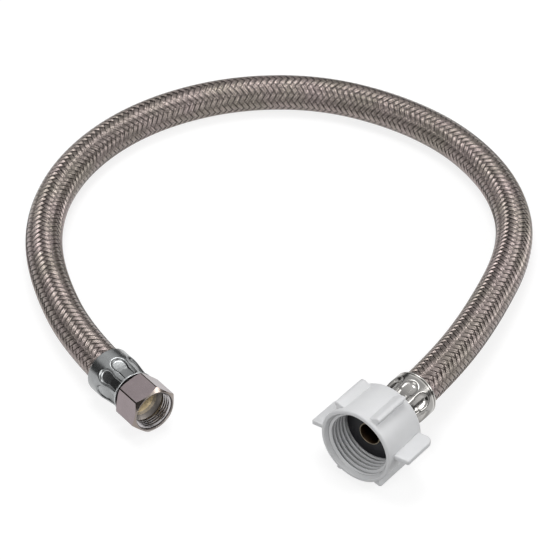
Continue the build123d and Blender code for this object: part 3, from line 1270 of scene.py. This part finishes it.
@dataclass
class BallcockEnd:
    """The plastic end: a wing nut on a brass stem with a washer, and its ferrule."""

    seat: Seat
    nut_length: float = 19.0
    mouth_radius: float = 14.1
    back_radius: float = 13.7
    edge_round: float = 0.8
    lead_in: float = 0.85
    bore_radius: float = 11.9
    bore_start: float = 1.2
    bore_end: float = 10.3
    relief_radius: float = 11.4
    relief_start: float = 10.6
    seat_depth: float = 15.8
    neck_bore: float = 4.6
    washer_depth: float = 10.2
    washer_thickness: float = 2.6
    washer_bore: float = 4.45
    washer_radius: float = 10.7
    spigot: Pair = (3.85, 4.15)
    spigot_front: float = 8.3
    flange_radius: float = 9.4
    flange_back: float = 15.6
    stem_neck: float = 4.3
    stem_bore: float = 3.0
    first_wing_angle: float = 6.0
    lug_spacing: float = 60.0
    lug_front: float = 2.6
    lug_root: float = 12.5
    wing_radius: float = 19.8
    wing_thickness: float = 1.9
    wing_back: float = 17.6
    wing_round: float = 3.0
    rib_front: float = 1.5
    rib_radius: float = 16.6
    rib_back: float = 17.0
    ferrule_front: float = 19.3
    hose_depth: float = 21.85
    steps_round: int = 128

    def build(self) -> list[Object]:
        """Build and dress the end's pieces."""
        sleeve = PressedSleeve(
            name="ballcock_sleeve",
            node="ballcock_ferrule",
            slot="polished_sleeve",
            seat=self.seat,
            front=self.ferrule_front,
            finish=PlatedMetal("polished_plate", (0.36, 0.35, 0.335), 0.19, 0.1, shaded=True),
            rim_width=1.6,
            rim_groove=0.4,
            pocket_turn=-12.0,
            pocket_end=12.0,
            pocket_soft=1.3,
            scoop_width=5.4,
            scoop_start=5.4,
            scoop_dish=0.9,
            scoop_step=1.1,
            crease_dark=0.4,
        )
        stem = TurnedPiece(
            name="ballcock_brass_stem",
            node="ballcock_stem",
            slot="brass",
            seat=self.seat,
            # Very dark brown brass over the stem, with lighter brass on the spigot's front rim.
            finishes=(
                PlatedMetal("dark_brown_brass", (0.085, 0.055, 0.033), 0.35, 0.3),
                PlatedMetal("light_brass_rim", (0.30, 0.26, 0.19), 0.28),
            ),
            outline=self._stem_outline(),
            pick=lambda radius, depth: int(
                depth < self.spigot_front + 0.1 and radius > self.spigot[0] - 0.01
            ),
            round_width=0.1,
        )
        washer_back = self.washer_depth + self.washer_thickness
        washer = TurnedPiece(
            name="ballcock_rubber_washer",
            node="ballcock_washer",
            slot="washer_rubber",
            seat=self.seat,
            finishes=(Rubber("washer_rubber"),),
            outline=[
                (self.washer_bore, self.washer_depth),
                (self.washer_radius, self.washer_depth),
                (self.washer_radius, washer_back),
                (self.washer_bore, washer_back),
            ],
            round_width=0.3,
        )
        return [self._nut(), sleeve.build(), stem.build(), washer.build()]

    def _stem_outline(self) -> list[Pair]:
        """Return the stem's section: spigot, flange, neck and barbed tail."""
        inner, outer = self.spigot
        flange_front = self.washer_depth + self.washer_thickness
        return [
            (inner, self.spigot_front),
            (outer, self.spigot_front),
            (outer, flange_front),
            (self.flange_radius, flange_front),
            (self.flange_radius, self.flange_back),
            (self.stem_neck, self.flange_back),
            *BarbedTail(self.hose_depth, self.stem_bore).outline(),
            (self.stem_bore, self.washer_depth),
        ]

    def _nut(self) -> Object:
        """Build and dress the wing nut."""
        outline = [
            (self.bore_radius + self.lead_in, 0),
            (self.mouth_radius, 0),
            (self.back_radius, self.nut_length),
            (self.neck_bore, self.nut_length),
            (self.neck_bore, self.seat_depth),
            (self.relief_radius, self.seat_depth),
            (self.relief_radius, self.relief_start),
            (self.bore_radius, self.bore_end),
            (self.bore_radius, self.bore_start),
        ]
        mesh = turned(outline, self.steps_round)
        soften(mesh, self.edge_round, segments=4, where=lambda radius: radius > 13.5)
        soften(mesh, 0.2, where=lambda radius: radius < 12.6)
        # The bore wall between the thread's ridges is painted a darker plastic: painted shade in
        # the thread's grooves.
        paint(mesh, lambda radius, depth: int(abs(radius - self.bore_radius) < 0.05))
        thread = Thread(
            10.93, self.bore_radius, pitch=1.81, first_depth=1.35, turns=4.9, root_share=0.3
        )
        add_piece(mesh, thread.build())
        for lug in range(6):
            part = self._rib(lug % 3 == 1) if lug % 3 else self._wing()
            angle = radians(self.first_wing_angle + lug * self.lug_spacing)
            turn = Matrix.Rotation(angle, 3, "Z")
            bmesh.ops.rotate(part, verts=part.verts, matrix=turn)
            add_piece(mesh, part)
        nut = finished_object("ballcock_wing_nut", mesh, self.seat.matrix(), smooth_below=35.0)
        # The second plastic is the same plastic darker, painted shade for the thread's grooves.
        finishes = (
            MouldedPlastic("pale_plastic", (0.75, 0.755, 0.765)),
            MouldedPlastic("thread_groove_shade", (0.52, 0.525, 0.535)),
        )
        return hand_over(nut, "ballcock_nut", finishes, "ballcock_nut", self.seat)

    def _wing(self) -> BMesh:
        """Build a flat wing in the plane of X and the axis, with a rounded outer corner."""
        front, back, tip = self.lug_front, self.wing_back, self.wing_radius
        spots = [(self.lug_root, front), (tip, front), (tip, back), (self.lug_root, back)]
        mesh, edge = bmesh.new(), -self.wing_thickness / 2
        corners = [mesh.verts.new((radius, edge, -depth)) for radius, depth in spots]
        mesh.faces.new(corners)
        bmesh.ops.bevel(
            mesh,
            geom=[corners[2]],
            offset=self.wing_round,
            affect="VERTICES",
            segments=8,
            profile=0.5,
            material=-1,
        )
        pull(mesh, (0, self.wing_thickness, 0))
        soften(mesh, 0.45, segments=3)
        return mesh

    def _rib(self, ramp_left: bool) -> BMesh:
        """Build a low rib along X that steps up on one side and slopes down on the other.

        Args:
            ramp_left: whether the slope is on the left of the step, seen from the mouth.

        Returns:
            The rib.
        """
        side = 1 if ramp_left else -1
        tip, root = self.rib_radius, self.lug_root
        spots = [(root, -1.3), (tip, -1.3), (tip, -0.2), (tip - 0.5, 0.5), (13.8, 2.2), (root, 2.2)]
        mesh = bmesh.new()
        mesh.faces.new([mesh.verts.new((r, shift * side, -self.rib_front)) for r, shift in spots])
        pull(mesh, (0, 0, self.rib_front - self.rib_back))
        soften(mesh, 0.6, segments=3, where=lambda radius: radius > 14.0)
        return mesh


# ------------------------------------------------------------------ the whole line
@dataclass
class SupplyLine:
    """The whole supply line."""

    LOOP = (
        (-0.0838, -0.0047, 0.0),
        (-0.0873, 0.0243, 0.0),
        (-0.0808, 0.0523, 0.0),
        (-0.0653, 0.0758, 0.0),
        (-0.0433, 0.0928, 0.0),
        (-0.0153, 0.1028, 0.0),
        (0.0162, 0.1028, 0.0),
        (0.0457, 0.0908, 0.0),
        (0.0692, 0.0713, 0.0),
        (0.0847, 0.0433, 0.0),
        (0.0872, 0.0108, 0.0006),
        (0.0702, -0.0317, 0.0026),
    )
    """The route's corners between the fittings: X, Y and lift off the table, in metres."""

    compression: Seat
    ballcock: Seat
    bend_depth: float = 46.0
    hose_radius: float = 6.7

    def build(self) -> None:
        """Build every sub-assembly and report its pieces."""
        route = HoseRoute(self._control_points())
        log.info("hose route: %.1f mm", route.length / MM)
        for assembly in (Hose(route), CompressionEnd(self.compression), BallcockEnd(self.ballcock)):
            for piece in assembly.build():
                log.info("%s: %d faces", piece.name, len(piece.data.polygons))

    def _control_points(self) -> list[Vector]:
        """Return the route's corners, in metres, from one fitting to the other."""
        lying = self.hose_radius * MM
        return [
            self.compression.point(CompressionEnd.hose_depth),
            self.compression.point(self.bend_depth),
            *(Vector((x, y, lying + lift)) for x, y, lift in self.LOOP),
            self.ballcock.point(self.bend_depth),
            self.ballcock.point(BallcockEnd.hose_depth),
        ]


# ------------------------------------------------------------------ studio
@dataclass
class Studio:
    """A pale table, soft light and the camera."""

    LAMPS = (
        ("top", (-0.05, 0.22, 0.95), 0.5, 4.1),
        ("front", (-0.38, -0.68, 0.55), 0.6, 2.7),
        ("side", (0.85, -0.12, 0.48), 0.4, 2.4),
        ("corner", (0.58, -0.36, 0.62), 0.3, 0.28),
    )
    """Each lamp's name, place, size and power."""
    CARDS = (
        ("left_flag", (-0.85, 0.0, 0.32), 90.0, 0.6),
        ("right_flag", (0.85, 0.0, 0.14), -90.0, 0.4),
        ("front_flag", (0.0, -1.15, 0.42), 180.0, 0.84),
        ("back_flag", (0.0, 1.1, 0.24), 0.0, 0.4),
    )
    """Each black card's name, place, turn about Z in degrees, and height."""

    target: Vector
    distance: float = 0.98
    elevation: float = 42.0
    lens: float = 175.2
    floor_size: float = 6.0
    floor_gap: float = 0.00005
    floor_grey: float = 0.3
    floor_glow: float = 0.78
    card_width: float = 1.3
    card_grey: float = 0.01
    room_light: float = 0.34
    room_glow: float = 0.66

    def build(self) -> None:
        """Build the camera, the lights, the table and the world."""
        self._camera()
        self._floor()
        self._world()
        for name, place, size, power in self.LAMPS:
            self._lamp(name, place, size, power)
        for name, place, turn, height in self.CARDS:
            self._card(name, place, turn, height)
        bpy.context.scene.view_settings.view_transform = "Standard"

    def _camera(self) -> None:
        """Place the camera in front of and above the part."""
        rise = radians(self.elevation)
        data = bpy.data.cameras.new("camera")
        data.lens = self.lens
        data.sensor_width = 36.0
        data.clip_start = 0.05
        data.clip_end = 20.0
        camera = bpy.data.objects.new("camera", data)
        camera.location = self.target + Vector((0, -cos(rise), sin(rise))) * self.distance
        camera.rotation_euler = Euler((pi / 2 - rise, 0, 0))
        bpy.context.scene.collection.objects.link(camera)
        bpy.context.scene.camera = camera

    def _lamp(self, name: str, place: Place, size: float, power: float) -> None:
        """Add a square soft lamp that points at the part."""
        data = bpy.data.lights.new(name, "AREA")
        data.shape = "SQUARE"
        data.size = size
        data.energy = power
        lamp = bpy.data.objects.new(name, data)
        lamp.location = place
        towards = self.target - Vector(place)
        lamp.rotation_euler = towards.to_track_quat("-Z", "Y").to_euler()
        bpy.context.scene.collection.objects.link(lamp)

    def _card(self, name: str, place: Place, turn: float, height: float) -> None:
        """Stand a black card beside the part, which only bright metal shows."""
        mesh = bmesh.new()
        bmesh.ops.create_grid(mesh, x_segments=1, y_segments=1, size=0.5)
        shape = Matrix.Diagonal((self.card_width, height, 1.0, 1.0))
        stand = Matrix.Rotation(radians(turn), 4, "Z") @ Matrix.Rotation(pi / 2, 4, "X") @ shape
        card = finished_object(name, mesh, Matrix.Translation(place) @ stand)
        black = bpy.data.materials.new("black_card")
        black.use_nodes = True
        color = black.node_tree.nodes["Principled BSDF"].inputs["Base Color"]
        color.default_value = (*[self.card_grey] * 3, 1.0)
        card.data.materials.append(black)
        card.visible_camera = False
        card.visible_diffuse = False
        card.visible_shadow = False

    def _floor(self) -> None:
        """Add the table top, which keeps shadows and looks white to the camera."""
        made = bpy.data.materials.new("white_table")
        made.use_nodes = True
        graph = Graph(made.node_tree)
        matte = graph.node("BsdfDiffuse", {"Color": (*[self.floor_grey] * 3, 1.0)})
        glow = graph.node("Emission", {"Strength": self._seen(graph, self.floor_glow)})
        both = graph.node("AddShader", {0: matte.outputs[0], 1: glow.outputs[0]})
        graph.node("OutputMaterial", {"Surface": both.outputs[0]})
        mesh = bmesh.new()
        bmesh.ops.create_grid(mesh, x_segments=1, y_segments=1, size=self.floor_size / 2)
        floor = finished_object("table_top", mesh, Matrix.Translation((0, 0, -self.floor_gap)))
        floor.data.materials.append(made)

    def _seen(self, graph: Graph, strength: float) -> Socket:
        """Return a strength that only rays which see the surface get."""
        path = graph.node("LightPath").outputs
        seen = graph.math("MAXIMUM", path["Is Camera Ray"], path["Is Glossy Ray"])
        seen = graph.math("MAXIMUM", seen, path["Is Transmission Ray"])
        return graph.math("MULTIPLY", seen, strength)

    def _world(self) -> None:
        """Fill the room with plain light, and make its walls look white."""
        world = bpy.data.worlds.new("room")
        world.use_nodes = True
        graph = Graph(world.node_tree)
        total = graph.math("ADD", self._seen(graph, self.room_glow), self.room_light)
        background = graph.node("Background", {"Strength": total})
        graph.node("OutputWorld", {"Surface": background.outputs[0]})
        bpy.context.scene.world = world


def main() -> None:
    """Build the studio and the supply line."""
    logging.basicConfig(level=logging.INFO, format="%(asctime)s %(message)s")
    Studio(target=Vector((0.0002, -0.0062, 0.0066))).build()
    line = SupplyLine(Seat("compression_nut_spin"), Seat("ballcock_nut_spin"))
    line.build()


if __name__ == "__main__":
    main()
